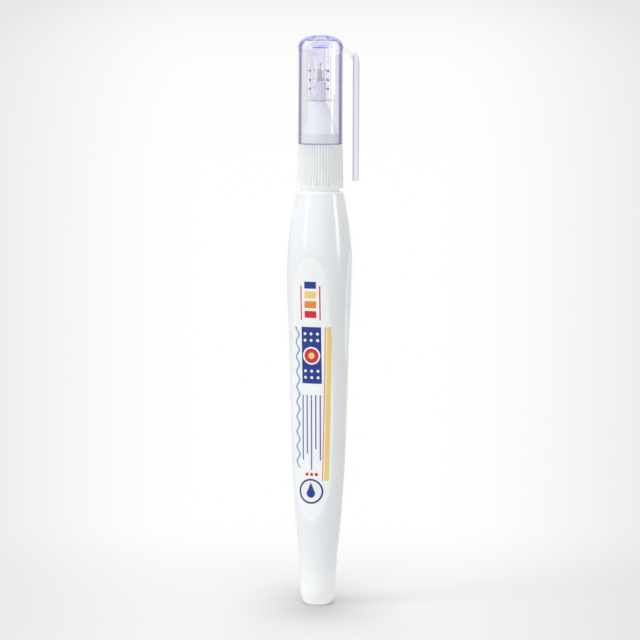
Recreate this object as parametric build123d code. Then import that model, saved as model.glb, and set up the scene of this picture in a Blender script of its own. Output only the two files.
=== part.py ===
from build123d import *
import math
import os

# A squeeze correction pen that stands on its tail. +Z runs from the foot of the tail to the crown of
# the cap, the front label panel faces -Y, and every length is in millimetres.

# Fits
FIT_GAP = 0.04          # between pieces that are pressed or snapped together
RUN_GAP = 0.07          # radial, between pieces that slide on each other
REST_GAP = 0.05         # under a piece that rests on another and can leave it
CUT_OVERRUN = 2.0       # how far a cutting shape passes the piece that it cuts

# Bottle
BODY_HEIGHT = 102.3     # foot to the top of the shoulder
BODY_RADIUS = 8.0
BOTTLE_WALL = 0.95
FOOT_RADIUS = 2.4
TAIL_RADIUS = 4.38
TAIL_HEIGHT = 4.2
TAIL_FLOOR = 1.3
SHOULDER_RADIUS = 5.86
SHOULDER_ROUND = 0.7
LAND_RADIUS = 4.75      # plain land of the neck, seen under the collar
LAND_HEIGHT = 2.0
NECK_RADIUS = 4.4
NECK_BORE = 3.4
NECK_BEAD = 0.25        # snap bead round the neck
BEAD_RISE = 5.0         # shoulder to the snap bead

# Body outline: height as a share of the body height, radius as a share of the body radius.
BODY_SHARES = (
    (0.115, 0.588),
    (0.184, 0.676),
    (0.328, 0.802),
    (0.520, 0.883),
    (0.664, 0.938),
    (0.790, 1.000),
    (0.868, 0.970),
    (0.940, 0.856),
)

# Label panel on the front, as seen from the side of the bottle
PANEL_FOOT = 29.0       # foot of the bottle to the lower bend
PANEL_LENGTH = 28.0     # lower bend to upper bend
PANEL_FOOT_DEPTH = 2.78  # how far the panel lies inside the belly at the lower bend
PANEL_HEAD_DEPTH = 2.04  # and at the upper bend
PANEL_FOOT_RAMP = 12.0
PANEL_FOOT_FLARE = 0.52
PANEL_HEAD_RAMP = 35.0
PANEL_HEAD_FLARE = 2.20
PANEL_CENTRE = 5.0      # the panel is turned about a line this far behind the bottle's axis

# Squeeze flats, left and right, as seen from the front of the bottle
FLAT_FOOT = 60.0        # foot of the bottle to the lower bend
FLAT_LENGTH = 34.0
FLAT_FOOT_DEPTH = 0.88  # how far the flat lies inside the belly at the lower bend
FLAT_LEAN = 0.92        # how far it leans out over its length
FLAT_RAMP = 9.0
FLAT_FLARE = 0.75
FLAT_BEND = 12.0

# Label on the front panel
LABEL_THICKNESS = 0.12
LABEL_MARGIN = 0.06     # how far the film's edge stays inside the round flank

# Nozzle with its ribbed collar
COLLAR_GAP = 0.8        # shoulder to the foot of the collar
COLLAR_HEIGHT = 10.6
COLLAR_FOOT_RADIUS = 5.71
COLLAR_HEAD_RADIUS = 5.47
COLLAR_BAND = 0.7       # plain band below the ribs
COLLAR_ROOF = 1.4
RIB_COUNT = 48
RIB_DEPTH = 0.17
RIB_SPAN_SHARE = 0.62   # of the rib pitch
SPIGOT_RADIUS = 4.52
SPIGOT_HEIGHT = 2.8
CONE_HEIGHT = 7.1
CONE_HEAD_RADIUS = 1.7
STEM_RADIUS = 1.3
STEM_HEIGHT = 5.5
PLUG_LENGTH = 6.6
VALVE_BORE = 2.2        # radius of the bore that the valve piston slides in
VALVE_DEPTH = 1.0       # spigot head to the shoulder of the valve bore
PASSAGE_RADIUS = 0.75

# Neck seal
SEAL_THICKNESS = 0.6

# Metal tip
TIP_RADIUS = 0.8
TIP_HEIGHT = 3.9
TIP_FLANGE_RADIUS = 1.05
TIP_FLANGE = 0.4
TIP_SHANK_RADIUS = 0.9
TIP_SHANK = 3.0
TIP_BORE = 0.52
TIP_NOSE = 1.3
TIP_NOSE_RADIUS = 0.46
TIP_ORIFICE = 0.27
TIP_SEAT = 0.6          # length of the conical seat inside the nose

# Valve
NEEDLE_RADIUS = 0.36
NEEDLE_POINT_RADIUS = 0.2
NEEDLE_SHOW = 0.7       # how far the needle stands out of the tip
NEEDLE_SOCKET = 2.3     # how deep it is pressed into the piston
NEEDLE_CONE = 0.5
PISTON_HEIGHT = 3.0
PISTON_BOSS = 1.2
PISTON_BOSS_RADIUS = 1.15
PISTON_HEADROOM = 0.5
FLUTE_COUNT = 3
FLUTE_WIDTH = 1.3
FLUTE_DEPTH = 0.75
RETAINER_HEIGHT = 1.4
RETAINER_FLANGE_RADIUS = 2.9
RETAINER_FLANGE = 0.7
RETAINER_HOLE = 0.5
RETAINER_HOLE_PITCH = 1.25
RETAINER_HOLES = 4
SPRING_WIRE = 0.16      # wire radius
SPRING_RADIUS = 1.5     # coil axis to wire centre
SPRING_TURNS = 7
STEPS_PER_TURN = 4
SAMPLES_PER_TURN = 36   # points per turn at which the coil's gap is measured

# Mixing ball
BALL_RADIUS = 2.38

# Cap
CAP_HEIGHT = 26.4
CAP_RIM_RADIUS = 5.53
CAP_CROWN_RADIUS = 5.48
CAP_ROUND = 2.9
CAP_DOME = 0.25         # rise of the crown's middle
CAP_ROOF = 2.5
CAP_CEILING_RADIUS = 4.3
DIMPLE_RADIUS = 0.95
DIMPLE_DEPTH = 0.9
BOSS_LENGTH = 2.6
LINER_RADIUS = 3.45
LINER_BORE = 2.1
LINER_REACH = 10.5      # rim of the cap to the rim of the liner
LINER_BEAD = 0.14
LINER_BEAD_PITCH = 2.2
LINER_BEAD_RISE = 3.1   # rim of the liner to its lowest bead
LINER_BEADS = 3

# Clip of the cap, drawn in the plane of the pen's axis
CLIP_TURN = 18.0        # degrees from +X towards +Y
CLIP_FOOT_REACH = 7.93
CLIP_HEAD_REACH = 7.85
CLIP_FOOT_THICKNESS = 1.8
CLIP_HEAD_THICKNESS = 1.6
CLIP_WIDTH = 3.8
CLIP_TAIL = 9.0         # how far it hangs below the cap's rim
CLIP_HEAD_DROP = 3.9    # crown to the point of the clip
CLIP_BEVEL = 2.4
CLIP_POINT_SHARE = 0.4  # of the thickness, from the inner face
CLIP_ROUND = 0.35
CLIP_LIP = 0.3
CLIP_LIP_HEIGHT = 1.6
GRIP_RISE = 4.7         # rim of the cap to the middle of the grip bead
GRIP_HEIGHT = 6.0
GRIP_DEPTH = 1.15
GRIP_WIDTH = 2.6
WEB_WIDTH = 2.4
WEB_ROOT = 0.5          # how far the web enters the wall of the cap
WEB_HEAD_DROP = 2.4     # crown to the web's upper edge at the cap
WEB_FOOT_DROP = 4.4     # crown to the web's lower edge at the cap
WEB_HIP_DROP = 5.7      # crown to the web's lower edge at the clip
WEB_ARCH_SHARES = (0.52, 0.06)

# Reaches from the axis and heights that follow from the sizes above
PANEL_FOOT_REACH = BODY_RADIUS - PANEL_FOOT_DEPTH
PANEL_HEAD_REACH = BODY_RADIUS - PANEL_HEAD_DEPTH
FLAT_FOOT_REACH = BODY_RADIUS - FLAT_FOOT_DEPTH
FLAT_HEAD_REACH = FLAT_FOOT_REACH + FLAT_LEAN
COLLAR_FOOT_Z = BODY_HEIGHT + COLLAR_GAP
COLLAR_HEAD_Z = COLLAR_FOOT_Z + COLLAR_HEIGHT
COLLAR_CEILING_Z = COLLAR_HEAD_Z - COLLAR_ROOF
NECK_TOP_Z = COLLAR_CEILING_Z - SEAL_THICKNESS - FIT_GAP
PLUG_FOOT_Z = COLLAR_CEILING_Z - PLUG_LENGTH
SPIGOT_HEAD_Z = COLLAR_HEAD_Z + SPIGOT_HEIGHT
VALVE_SHOULDER_Z = SPIGOT_HEAD_Z + VALVE_DEPTH
CONE_HEAD_Z = SPIGOT_HEAD_Z + CONE_HEIGHT
STEM_HEAD_Z = CONE_HEAD_Z + STEM_HEIGHT
TIP_HEAD_Z = STEM_HEAD_Z + TIP_HEIGHT
NEEDLE_HEAD_Z = TIP_HEAD_Z + NEEDLE_SHOW
PISTON_HEAD_Z = VALVE_SHOULDER_Z - PISTON_HEADROOM
PISTON_FOOT_Z = PISTON_HEAD_Z - PISTON_HEIGHT
RETAINER_HEAD_Z = PLUG_FOOT_Z + RETAINER_HEIGHT
CAP_RIM_Z = COLLAR_HEAD_Z + REST_GAP
CAP_CROWN_Z = CAP_RIM_Z + CAP_HEIGHT
CAP_CEILING_Z = CAP_CROWN_Z - CAP_ROOF
LINER_RIM_Z = CAP_RIM_Z + LINER_REACH


def turned(*outline):
    """Solid turned about Z from a closed outline of (radius, height) corners."""
    corners = [(radius, 0, height) for radius, height in outline]
    return revolve(make_face(Polyline(*corners, close=True)), Axis.Z)


def disc(radius, foot, head):
    """Plain round block between two heights."""
    return turned((0, foot), (radius, foot), (radius, head), (0, head))


def hoop(radius, thickness, height):
    """Ring of round section about Z."""
    return Pos(0, 0, height) * Torus(radius, thickness)


def body_outline(inset):
    """Points up the side of the bottle, moved towards the axis by the inset."""
    points = [(TAIL_RADIUS - inset, 0, TAIL_HEIGHT)]
    for height_share, radius_share in BODY_SHARES:
        points.append((BODY_RADIUS * radius_share - inset, 0, BODY_HEIGHT * height_share))
    points.append((SHOULDER_RADIUS - inset, 0, BODY_HEIGHT - SHOULDER_ROUND))
    return points


def flank_line(side):
    """Smooth line up the side of the bottle that reaches the shoulder along its last chord."""
    last_chord = Vector(*side[-1]) - Vector(*side[-2])
    return Spline(*side, tangents=((0, 0, 1), last_chord))


def bottle_form():
    """Outside of the bottle before the panel and the flats are pressed in: tail, belly, shoulder, neck."""
    side = body_outline(0)
    land_top = BODY_HEIGHT + LAND_HEIGHT
    foot_edge = (FOOT_RADIUS, 0, 0)
    tail = Spline(foot_edge, side[0], tangents=((1, 0, 0), (0, 0, 1)))
    flank = flank_line(side)
    shoulder_inner = (SHOULDER_RADIUS - SHOULDER_ROUND, 0, BODY_HEIGHT)
    shoulder = TangentArc(shoulder_inner, side[-1], tangent=(1, 0, 0))
    neck = Polyline(
        shoulder_inner,
        (LAND_RADIUS, 0, BODY_HEIGHT),
        (LAND_RADIUS, 0, land_top),
        (NECK_RADIUS, 0, land_top),
        (NECK_RADIUS, 0, NECK_TOP_Z),
        (0, 0, NECK_TOP_Z),
        (0, 0, 0),
        foot_edge,
    )
    return revolve(make_face([tail, flank, shoulder] + list(neck.edges())), Axis.Z)


def bottle_hollow():
    """Inside of the bottle before the panel and the flats are pressed in, open through the neck."""
    side = body_outline(BOTTLE_WALL)
    floor = (0, 0, TAIL_FLOOR)
    tail = Spline(floor, side[0], tangents=((1, 0, 0), (0, 0, 1)))
    flank = flank_line(side)
    neck = Polyline(
        side[-1],
        (NECK_BORE, 0, BODY_HEIGHT + SHOULDER_ROUND),
        (NECK_BORE, 0, NECK_TOP_Z + CUT_OVERRUN),
        (0, 0, NECK_TOP_Z + CUT_OVERRUN),
        floor,
    )
    return revolve(make_face([tail, flank] + list(neck.edges())), Axis.Z)


def side_view(edge_line):
    """Side view of a cutter facing -Y, its cutting edge a line of (distance from the axis, height)."""
    foot, head = edge_line @ 0, edge_line @ 1
    far = BODY_RADIUS + PANEL_HEAD_FLARE + CUT_OVERRUN
    back_line = Polyline(head, (far, head.Y), (far, foot.Y), foot)
    outline = make_face(list(edge_line.edges()) + list(back_line.edges()))
    return Plane((0, 0, 0), x_dir=(0, -1, 0), z_dir=(-1, 0, 0)) * outline


def panel_cutter(inset):
    """Cutter of the gently rounded front label panel, moved towards the axis by the inset."""
    foot_reach = PANEL_FOOT_REACH - inset
    head_reach = PANEL_HEAD_REACH - inset
    head = PANEL_FOOT + PANEL_LENGTH
    edge_line = Polyline(
        (foot_reach + PANEL_FOOT_FLARE, PANEL_FOOT - PANEL_FOOT_RAMP),
        (foot_reach, PANEL_FOOT),
        (head_reach, head),
        (head_reach + PANEL_HEAD_FLARE, head + PANEL_HEAD_RAMP),
    )
    turning_line = Axis((0, PANEL_CENTRE, 0), (0, 0, 1))
    return revolve(side_view(edge_line), turning_line).rotate(turning_line, 180)


def flat_cutter(inset):
    """Cutter of a squeeze flat, drawn facing -Y, moved towards the axis by the inset."""
    foot_reach = FLAT_FOOT_REACH - inset
    edge_line = FilletPolyline(
        (foot_reach + FLAT_FLARE, FLAT_FOOT - FLAT_RAMP),
        (foot_reach, FLAT_FOOT),
        (FLAT_HEAD_REACH - inset, FLAT_FOOT + FLAT_LENGTH),
        radius=FLAT_BEND,
    )
    return extrude(side_view(edge_line), BODY_RADIUS, both=True)


def press_in(form, inset):
    """The form with the front label panel and both squeeze flats pressed in."""
    form = form - panel_cutter(inset)
    for turn in (90, 270):
        form = form - Rot(0, 0, turn) * flat_cutter(inset)
    return form


def make_bottle():
    outside = press_in(bottle_form(), 0) + hoop(NECK_RADIUS, NECK_BEAD, BODY_HEIGHT + BEAD_RISE)
    inside = press_in(bottle_hollow(), BOTTLE_WALL)
    print(f"bottle holds {inside.volume / 1000:.1f} ml to the brim")
    return outside - inside


def make_front_label():
    """Thin film that fills the front panel almost out to the panel's arched edge."""
    side = body_outline(LABEL_MARGIN)
    ends = Polyline(side[-1], (0, 0, side[-1][2]), (0, 0, side[0][2]), side[0])
    flank = revolve(make_face([flank_line(side)] + list(ends.edges())), Axis.Z)
    film = panel_cutter(-FIT_GAP / 2) - panel_cutter(-FIT_GAP / 2 - LABEL_THICKNESS)
    return film & flank


def ribbed_ring(radius, height):
    """Face with a ribbed edge: half-round ribs on a ring of short flats."""
    pitch = 2 * math.pi / RIB_COUNT
    half_rib = pitch * RIB_SPAN_SHARE / 2
    root = radius - RIB_DEPTH

    def at(distance, angle):
        return (distance * math.cos(angle), distance * math.sin(angle), height)

    edges = []
    for index in range(RIB_COUNT):
        middle = index * pitch
        start = at(root, middle - half_rib)
        end = at(root, middle + half_rib)
        edges.append(ThreePointArc(start, at(radius, middle), end))
        edges.append(Line(end, at(root, middle + pitch - half_rib)))
    return make_face(edges)


def make_nozzle():
    """Ribbed collar, cap spigot, cone, stem and neck plug in one moulding."""
    ribs_foot = COLLAR_FOOT_Z + COLLAR_BAND
    lower_ring = ribbed_ring(COLLAR_FOOT_RADIUS, ribs_foot)
    upper_ring = ribbed_ring(COLLAR_HEAD_RADIUS, COLLAR_HEAD_Z)
    ribs = loft([lower_ring, upper_ring], ruled=True)
    shape = ribs + disc(COLLAR_FOOT_RADIUS, COLLAR_FOOT_Z, ribs_foot)
    shape = shape + turned(
        (0, COLLAR_CEILING_Z),
        (SPIGOT_RADIUS, COLLAR_CEILING_Z),
        (SPIGOT_RADIUS, SPIGOT_HEAD_Z),
        (CONE_HEAD_RADIUS, CONE_HEAD_Z),
        (STEM_RADIUS, CONE_HEAD_Z + CONE_HEAD_RADIUS - STEM_RADIUS),
        (STEM_RADIUS, STEM_HEAD_Z),
        (0, STEM_HEAD_Z),
    )
    collar_bore = NECK_RADIUS + FIT_GAP
    land_bore = LAND_RADIUS + FIT_GAP
    land_top = BODY_HEIGHT + LAND_HEIGHT + FIT_GAP
    shape = shape - turned(
        (0, COLLAR_FOOT_Z - CUT_OVERRUN),
        (land_bore, COLLAR_FOOT_Z - CUT_OVERRUN),
        (land_bore, land_top),
        (collar_bore, land_top),
        (collar_bore, COLLAR_CEILING_Z),
        (0, COLLAR_CEILING_Z),
    )
    shape = shape - hoop(NECK_RADIUS, NECK_BEAD + FIT_GAP, BODY_HEIGHT + BEAD_RISE)
    shape = shape + disc(NECK_BORE - FIT_GAP, PLUG_FOOT_Z, COLLAR_CEILING_Z + COLLAR_ROOF / 2)
    socket_foot = STEM_HEAD_Z - TIP_SHANK - FIT_GAP
    tip_socket = TIP_SHANK_RADIUS + FIT_GAP
    return shape - turned(
        (0, PLUG_FOOT_Z - CUT_OVERRUN),
        (VALVE_BORE, PLUG_FOOT_Z - CUT_OVERRUN),
        (VALVE_BORE, VALVE_SHOULDER_Z),
        (PASSAGE_RADIUS, VALVE_SHOULDER_Z + VALVE_BORE - PASSAGE_RADIUS),
        (PASSAGE_RADIUS, socket_foot),
        (tip_socket, socket_foot),
        (tip_socket, STEM_HEAD_Z + CUT_OVERRUN),
        (0, STEM_HEAD_Z + CUT_OVERRUN),
    )


def make_neck_seal():
    """Flat ring between the rim of the neck and the roof of the collar."""
    foot = NECK_TOP_Z + FIT_GAP / 2
    head = foot + SEAL_THICKNESS
    return turned((NECK_BORE, foot), (NECK_RADIUS, foot), (NECK_RADIUS, head), (NECK_BORE, head))


def make_metal_tip():
    """Turned tip: shank, flange, barrel and nose, with a conical valve seat behind the orifice."""
    foot = STEM_HEAD_Z - TIP_SHANK
    nose = TIP_HEAD_Z - TIP_NOSE
    seat_top = TIP_HEAD_Z - TIP_SEAT
    return turned(
        (TIP_BORE, foot),
        (TIP_SHANK_RADIUS, foot),
        (TIP_SHANK_RADIUS, STEM_HEAD_Z),
        (TIP_FLANGE_RADIUS, STEM_HEAD_Z),
        (TIP_FLANGE_RADIUS, STEM_HEAD_Z + TIP_FLANGE),
        (TIP_RADIUS, STEM_HEAD_Z + TIP_FLANGE),
        (TIP_RADIUS, nose),
        (TIP_NOSE_RADIUS, TIP_HEAD_Z),
        (TIP_ORIFICE, TIP_HEAD_Z),
        (TIP_ORIFICE, seat_top),
        (TIP_BORE, seat_top - TIP_SEAT),
    )


def make_valve_needle():
    """Wire needle: a round point, a closing cone behind the orifice and a shank in the piston."""
    foot = PISTON_HEAD_Z - NEEDLE_SOCKET
    cone_top = TIP_HEAD_Z - TIP_SEAT - RUN_GAP
    shank_top = cone_top - NEEDLE_CONE
    point_foot = NEEDLE_HEAD_Z - NEEDLE_POINT_RADIUS
    wire = turned(
        (0, foot),
        (NEEDLE_RADIUS, foot),
        (NEEDLE_RADIUS, shank_top),
        (NEEDLE_POINT_RADIUS, cone_top),
        (NEEDLE_POINT_RADIUS, point_foot),
        (0, point_foot),
    )
    return wire + Pos(0, 0, point_foot) * Sphere(NEEDLE_POINT_RADIUS)


def make_valve_piston():
    """Fluted guide that carries the needle and takes the push of the spring."""
    radius = VALVE_BORE - RUN_GAP
    shape = disc(radius, PISTON_FOOT_Z, PISTON_HEAD_Z)
    shape = shape + disc(PISTON_BOSS_RADIUS, PISTON_FOOT_Z - PISTON_BOSS, PISTON_FOOT_Z)
    socket_foot = PISTON_HEAD_Z - NEEDLE_SOCKET - FIT_GAP
    shape = shape - disc(NEEDLE_RADIUS + FIT_GAP, socket_foot, VALVE_SHOULDER_Z)
    flute = Box(2 * FLUTE_DEPTH, FLUTE_WIDTH, PISTON_HEIGHT + CUT_OVERRUN)
    middle = (PISTON_FOOT_Z + PISTON_HEAD_Z) / 2
    for index in range(FLUTE_COUNT):
        shape = shape - Rot(0, 0, 360 * index / FLUTE_COUNT) * Pos(radius, 0, middle) * flute
    return shape


def make_spring_retainer():
    """Drilled plug in the foot of the valve bore; the fluid passes through its holes."""
    flange_foot = PLUG_FOOT_Z - RETAINER_FLANGE - FIT_GAP
    shape = disc(RETAINER_FLANGE_RADIUS, flange_foot, PLUG_FOOT_Z - FIT_GAP)
    shape = shape + disc(VALVE_BORE - FIT_GAP, PLUG_FOOT_Z - FIT_GAP, RETAINER_HEAD_Z)
    for index in range(RETAINER_HOLES):
        place = Rot(0, 0, 360 * index / RETAINER_HOLES) * Pos(RETAINER_HOLE_PITCH, 0, 0)
        hole = disc(RETAINER_HOLE, flange_foot - CUT_OVERRUN, RETAINER_HEAD_Z + CUT_OVERRUN)
        shape = shape - place * hole
    return shape


def coil_frame(turns, pitch, foot):
    """Point and unit tangent of the coil's centre line after so many turns."""
    angle = 2 * math.pi * turns
    rise = pitch / (2 * math.pi)
    across, along = SPRING_RADIUS * math.cos(angle), SPRING_RADIUS * math.sin(angle)
    point = Vector(across, along, foot + pitch * turns)
    tangent = Vector(-along, across, rise)
    return point, tangent.normalized()


def biarc(start, start_tangent, end, end_tangent):
    """Two arcs that leave and arrive along the given tangents and meet smoothly."""
    span = end - start
    bend = 2 * (1 - start_tangent.dot(end_tangent))
    along = span.dot(start_tangent + end_tangent)
    reach = (math.sqrt(along * along + bend * span.dot(span)) - along) / bend
    leave = start + start_tangent * reach
    arrive = end - end_tangent * reach
    middle = (leave + arrive) / 2
    return [
        TangentArc(start, middle, tangent=start_tangent),
        TangentArc(middle, end, tangent=arrive - leave),
    ]


def coil_gap(pitch, foot):
    """Least gap between two places on the coil that are over half a turn apart."""
    count = SPRING_TURNS * SAMPLES_PER_TURN + 1
    points = [coil_frame(index / SAMPLES_PER_TURN, pitch, foot)[0] for index in range(count)]
    least = min(
        (points[first] - points[second]).length
        for first in range(count)
        for second in range(first + SAMPLES_PER_TURN // 2, count)
    )
    return least - 2 * SPRING_WIRE


def make_valve_spring():
    """Open coil between the retainer and the piston."""
    foot = RETAINER_HEAD_Z + SPRING_WIRE + REST_GAP
    head = PISTON_FOOT_Z - SPRING_WIRE - REST_GAP
    pitch = (head - foot) / SPRING_TURNS
    count = SPRING_TURNS * STEPS_PER_TURN + 1
    frames = [coil_frame(step / STEPS_PER_TURN, pitch, foot) for step in range(count)]
    arcs = []
    for (start, start_tangent), (end, end_tangent) in zip(frames, frames[1:]):
        arcs.extend(biarc(start, start_tangent, end, end_tangent))
    print(f"valve spring: least gap to itself {coil_gap(pitch, foot):.2f} mm")
    section = Plane(frames[0][0], z_dir=frames[0][1]) * Circle(SPRING_WIRE)
    return sweep(section, path=Wire(arcs))


def make_mixing_ball():
    """Loose ball that stirs the fluid, at rest in the tail."""
    return Pos(0, 0, TAIL_FLOOR + REST_GAP + BALL_RADIUS) * Sphere(BALL_RADIUS)


def clip_plate(edges, width):
    """Plate drawn in the XZ plane, centred on it."""
    return extrude(make_face(edges), width / 2, dir=(0, 1, 0), both=True)


def make_clip():
    """Clip arm with its grip bead and lip, and the web that joins it to the cap."""
    foot = CAP_RIM_Z - CLIP_TAIL
    point = CAP_CROWN_Z - CLIP_HEAD_DROP
    inner_head = (CLIP_HEAD_REACH, 0, point - CLIP_BEVEL / 2)
    outer_head = (CLIP_HEAD_REACH + CLIP_HEAD_THICKNESS, 0, point - CLIP_BEVEL)
    tip = (CLIP_HEAD_REACH + CLIP_HEAD_THICKNESS * CLIP_POINT_SHARE, 0, point)
    outer_foot = (CLIP_FOOT_REACH + CLIP_FOOT_THICKNESS, 0, foot)
    inner_foot = (CLIP_FOOT_REACH, 0, foot)
    side = Polyline(inner_foot, outer_foot, outer_head, tip, inner_head, close=True)
    arm = clip_plate([side], CLIP_WIDTH)
    arm = fillet(arm.edges(), CLIP_ROUND)

    grip_middle = CAP_RIM_Z + GRIP_RISE
    grip_root = CLIP_FOOT_REACH + CLIP_ROUND
    grip_foot = (grip_root, 0, grip_middle - GRIP_HEIGHT / 2)
    grip_head = (grip_root, 0, grip_middle + GRIP_HEIGHT / 2)
    grip_nose = (CLIP_FOOT_REACH - GRIP_DEPTH, 0, grip_middle)
    swell = ThreePointArc(grip_foot, grip_nose, grip_head)
    grip = clip_plate([swell, Line(grip_head, grip_foot)], GRIP_WIDTH)

    lip_foot = (grip_root, 0, foot + CLIP_ROUND)
    lip_head = (grip_root, 0, foot + CLIP_ROUND + CLIP_LIP_HEIGHT)
    lip_nose = (CLIP_FOOT_REACH - CLIP_LIP, 0, foot + CLIP_ROUND + CLIP_LIP_HEIGHT / 2)
    curl = ThreePointArc(lip_foot, lip_nose, lip_head)
    lip = clip_plate([curl, Line(lip_head, lip_foot)], GRIP_WIDTH)

    root = CAP_CROWN_RADIUS - WEB_ROOT
    reach = CLIP_HEAD_REACH + CLIP_ROUND
    root_head = (root, 0, CAP_CROWN_Z - WEB_HEAD_DROP)
    root_foot = (root, 0, CAP_CROWN_Z - WEB_FOOT_DROP)
    hip_head = (reach, 0, point - CLIP_ROUND)
    hip_foot = (reach, 0, CAP_CROWN_Z - WEB_HIP_DROP)
    along_share, rise_share = WEB_ARCH_SHARES
    arch = (
        root + (reach - root) * along_share,
        0,
        CAP_CROWN_Z - WEB_FOOT_DROP + (WEB_HIP_DROP - WEB_FOOT_DROP) * rise_share,
    )
    web = clip_plate(
        [
            Polyline(hip_foot, hip_head, root_head, root_foot),
            ThreePointArc(root_foot, arch, hip_foot),
        ],
        WEB_WIDTH,
    )
    return arm + grip + lip + web


def make_cap_shell():
    """Clear cap: tapered wall, domed crown with a gate dimple, liner boss and clip."""
    mouth = SPIGOT_RADIUS + RUN_GAP
    wall_head = CAP_CROWN_Z - CAP_ROUND
    crown_edge = (CAP_CROWN_RADIUS - CAP_ROUND, 0, CAP_CROWN_Z)
    crown_middle = (0, 0, CAP_CROWN_Z + CAP_DOME)
    wall_edge = (CAP_CROWN_RADIUS, 0, wall_head)
    outline = [
        TangentArc(crown_middle, crown_edge, tangent=(1, 0, 0)),
        TangentArc(wall_edge, crown_edge, tangent=(0, 0, 1)),
        Polyline(
            wall_edge,
            (CAP_RIM_RADIUS, 0, CAP_RIM_Z),
            (mouth, 0, CAP_RIM_Z),
            (mouth, 0, SPIGOT_HEAD_Z),
            (CAP_CEILING_RADIUS, 0, CAP_CEILING_Z),
            (LINER_BORE - FIT_GAP, 0, CAP_CEILING_Z),
            (LINER_BORE - FIT_GAP, 0, CAP_CEILING_Z - BOSS_LENGTH),
            (0, 0, CAP_CEILING_Z - BOSS_LENGTH),
            crown_middle,
        ),
    ]
    shell = revolve(make_face(outline), Axis.Z)
    shell = shell - disc(DIMPLE_RADIUS, CAP_CROWN_Z - DIMPLE_DEPTH, CAP_CROWN_Z + CUT_OVERRUN)
    hollow = turned(
        (0, CAP_RIM_Z),
        (mouth, CAP_RIM_Z),
        (mouth, SPIGOT_HEAD_Z),
        (CAP_CEILING_RADIUS, CAP_CEILING_Z),
        (0, CAP_CEILING_Z),
    )
    return shell + Rot(0, 0, CLIP_TURN) * (make_clip() - hollow)


def make_cap_liner():
    """Inner sleeve round the tip, pressed on the boss of the cap, with fine beads in its bore."""
    head = CAP_CEILING_Z - FIT_GAP
    bore = disc(LINER_BORE, LINER_RIM_Z - CUT_OVERRUN, head + CUT_OVERRUN)
    shape = disc(LINER_RADIUS, LINER_RIM_Z, head) - bore
    for index in range(LINER_BEADS):
        height = LINER_RIM_Z + LINER_BEAD_RISE + LINER_BEAD_PITCH * index
        shape = shape + hoop(LINER_BORE, LINER_BEAD, height)
    return shape


PIECES = {
    "bottle": make_bottle,
    "front_label": make_front_label,
    "nozzle": make_nozzle,
    "neck_seal": make_neck_seal,
    "metal_tip": make_metal_tip,
    "valve_needle": make_valve_needle,
    "valve_piston": make_valve_piston,
    "valve_spring": make_valve_spring,
    "spring_retainer": make_spring_retainer,
    "mixing_ball": make_mixing_ball,
    "cap_shell": make_cap_shell,
    "cap_liner": make_cap_liner,
}

os.makedirs("parts", exist_ok=True)
for name, make in PIECES.items():
    piece = make()
    solids = piece.solids()
    print(f"{name}: {len(solids)} solid, {piece.volume:.1f} mm3, valid {piece.is_valid}")
    export_step(piece, f"parts/{name}.step")
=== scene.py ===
"""Looks of a squeeze correction pen that stands on its tail: skins, finishes, studio and camera.

Shapes are worked out in millimetres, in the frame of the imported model, and become metres in the mesh.
+Z runs from the foot of the tail to the crown of the cap, and the front label panel faces -Y.
"""
import math

import bpy
import numpy as np
from mathutils import Matrix, Vector


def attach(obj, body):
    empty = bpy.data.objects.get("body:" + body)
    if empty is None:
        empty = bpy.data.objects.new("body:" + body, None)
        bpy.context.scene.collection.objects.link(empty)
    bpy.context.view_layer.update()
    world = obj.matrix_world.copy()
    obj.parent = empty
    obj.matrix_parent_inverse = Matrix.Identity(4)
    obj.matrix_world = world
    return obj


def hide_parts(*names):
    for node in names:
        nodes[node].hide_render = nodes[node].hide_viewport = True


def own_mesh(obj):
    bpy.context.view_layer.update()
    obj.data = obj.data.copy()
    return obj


MM = 0.001

# Meshing
ROUND_LIMIT = 0.42              # share of an edge that the round of a corner may take
SUPPORT_SHARE = 0.18            # support points stand this share of the tangent beside a round
POLE_RADIUS = 0.1               # first ring round a pole on the axis

# Bottle
BODY_HEIGHT = 102.3
BODY_RADIUS = 8.0
BOTTLE_WALL = 0.95
FOOT_RADIUS = 2.4
TAIL_RADIUS = 4.38
TAIL_HEIGHT = 4.2
TAIL_FLOOR = 1.3
SHOULDER_RADIUS = 5.86
SHOULDER_ROUND = 0.7
LAND_RADIUS = 4.75
LAND_HEIGHT = 2.0
NECK_RADIUS = 4.4
NECK_BORE = 3.4
NECK_TOP = 111.66
BODY_SHARES = (
    (0.115, 0.588),
    (0.184, 0.676),
    (0.328, 0.802),
    (0.520, 0.883),
    (0.664, 0.938),
    (0.790, 1.000),
    (0.868, 0.970),
    (0.940, 0.856),
)
PANEL_FOOT = 29.0
PANEL_HEAD = 57.0
PANEL_FOOT_REACH = 5.22
PANEL_SLOPE = 0.74 / 28.0
PANEL_FOOT_SLOPE = -0.52 / 12.0
PANEL_HEAD_SLOPE = 2.20 / 35.0
PANEL_BENDS = (0.06, 0.03)      # how softly the ramps run into the panel, foot and head
PANEL_CENTRE = 5.0              # the panel is turned about a line this far behind the axis
FLAT_FOOT = 60.0
FLAT_FOOT_REACH = 7.12
FLAT_SLOPE = 0.92 / 34.0
FLAT_FOOT_SLOPE = -0.75 / 9.0
FLAT_BEND = 0.10
PANEL_EDGE = 0.06               # depth over which the panel melts into the round flank
FLAT_EDGE = 0.15                # and a squeeze flat
BOTTLE_COLUMNS = (15, 28, 24)   # from the seam to the flat's edge, the panel's edge and its middle
COLUMN_CROWDING = 0.8           # how closely the columns crowd at those edges
FLAT_EDGE_LEAST = math.radians(3)
PANEL_EDGE_MOST = math.radians(87)
EDGE_GAP = 0.1                  # least angle between the edges of flat and panel
COSINE_LEAST = 0.02             # keeps the flats finite straight in front and behind
FOOT_START = 0.15               # share of the foot's radius at its first row
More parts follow.
